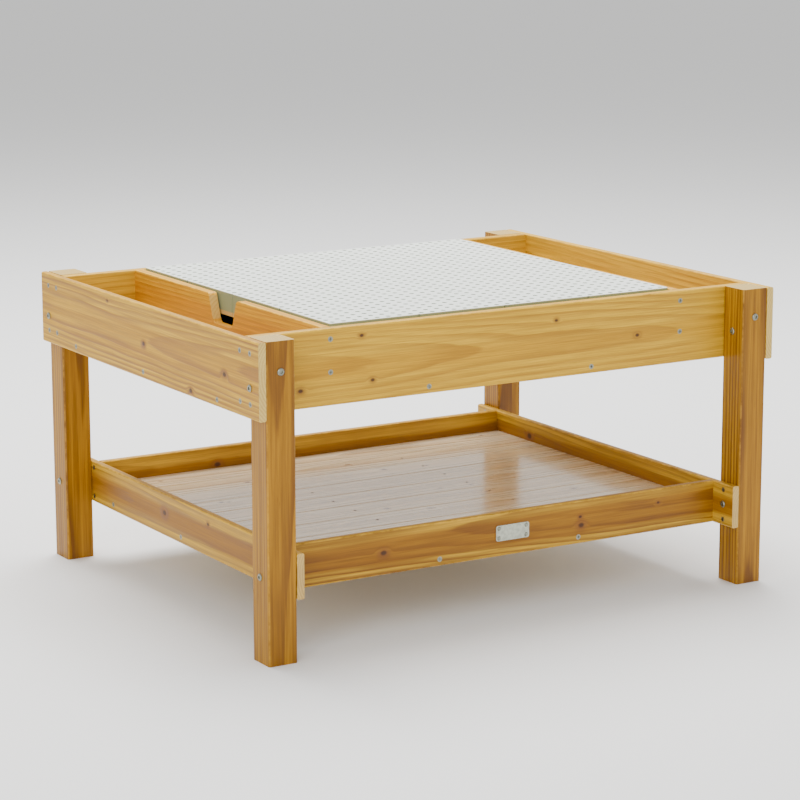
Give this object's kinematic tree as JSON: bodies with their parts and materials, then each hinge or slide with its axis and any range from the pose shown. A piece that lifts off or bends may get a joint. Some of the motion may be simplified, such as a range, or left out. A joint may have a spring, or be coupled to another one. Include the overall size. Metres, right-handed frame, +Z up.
{
  "type": "sand and water play table",
  "caption": "Timber play table with lift-out plastic building trays that turn over to hold sand or water, a storage well at each end and a planked shelf underneath.",
  "frame": {"origin": "on the ground, at the centre of the table's footprint", "axes": "+X along the table to the right, +Y towards its back, +Z up"},
  "size_m": [0.7746, 0.6296, 0.4025],
  "materials": {
    "post_wood": "satin",
    "board_wood": "satin",
    "batten_wood": "matte",
    "plank_wood": "satin",
    "plywood": "matte",
    "tray_plastic": "satin",
    "zinc": "satin",
    "plate_metal": "brushed"
  },
  "bodies": {
    "table_frame": {"post_front_left": "post_wood", "post_front_right": "post_wood", "post_back_left": "post_wood", "post_back_right": "post_wood", "box_end_board_left": "board_wood", "box_end_board_right": "board_wood", "box_side_board_front": "board_wood", "box_side_board_back": "board_wood", "divider_left": "board_wood", "divider_right": "board_wood", "box_cleat_left": "batten_wood", "box_cleat_right": "batten_wood", "box_batten_left": "batten_wood", "box_batten_right": "batten_wood", "box_plank_1": "plank_wood", "box_plank_2": "plank_wood", "box_plank_3": "plank_wood", "box_plank_4": "plank_wood", "box_plank_5": "plank_wood", "box_plank_6": "plank_wood", "box_plank_7": "plank_wood", "box_plank_8": "plank_wood", "box_plank_9": "plank_wood", "deck_bearer": "batten_wood", "frame_under_front_left": "plywood", "frame_under_front_right": "plywood", "frame_under_back_left": "plywood", "frame_under_back_right": "plywood", "deck_ledge_front": "batten_wood", "deck_ledge_back": "batten_wood", "shelf_end_board_left": "board_wood", "shelf_end_board_right": "board_wood", "shelf_side_board_front": "board_wood", "shelf_side_board_back": "board_wood", "shelf_cleat_left": "batten_wood", "shelf_cleat_right": "batten_wood", "shelf_batten_left": "batten_wood", "shelf_batten_right": "batten_wood", "shelf_plank_1": "plank_wood", "shelf_plank_2": "plank_wood", "shelf_plank_3": "plank_wood", "shelf_plank_4": "plank_wood", "shelf_plank_5": "plank_wood", "shelf_plank_6": "plank_wood", "shelf_plank_7": "plank_wood", "shelf_plank_8": "plank_wood", "shelf_plank_9": "plank_wood", "nameplate": "plate_metal", "nameplate_screws": "zinc", "end_frame_bolts": "zinc", "side_frame_bolts": "zinc", "sleeve_nuts": "zinc", "board_screws": "zinc", "cleat_screws": "zinc", "box_plank_screws": "zinc", "shelf_plank_screws": "zinc"},
    "front_left_tray": {"tray_front_left": "tray_plastic"},
    "front_right_tray": {"tray_front_right": "tray_plastic"},
    "back_left_tray": {"tray_back_left": "tray_plastic"},
    "back_right_tray": {"tray_back_right": "tray_plastic"}
  },
  "joints": [
    {"name": "lift_front_left_tray", "type": "slide", "parent": "table_frame", "child": "front_left_tray", "axis": [0, 0, 1], "range_m": [0, 0.12]},
    {"name": "lift_front_right_tray", "type": "slide", "parent": "table_frame", "child": "front_right_tray", "axis": [0, 0, 1], "range_m": [0, 0.12]},
    {"name": "lift_back_left_tray", "type": "slide", "parent": "table_frame", "child": "back_left_tray", "axis": [0, 0, 1], "range_m": [0, 0.12]},
    {"name": "lift_back_right_tray", "type": "slide", "parent": "table_frame", "child": "back_right_tray", "axis": [0, 0, 1], "range_m": [0, 0.12]}
  ]
}
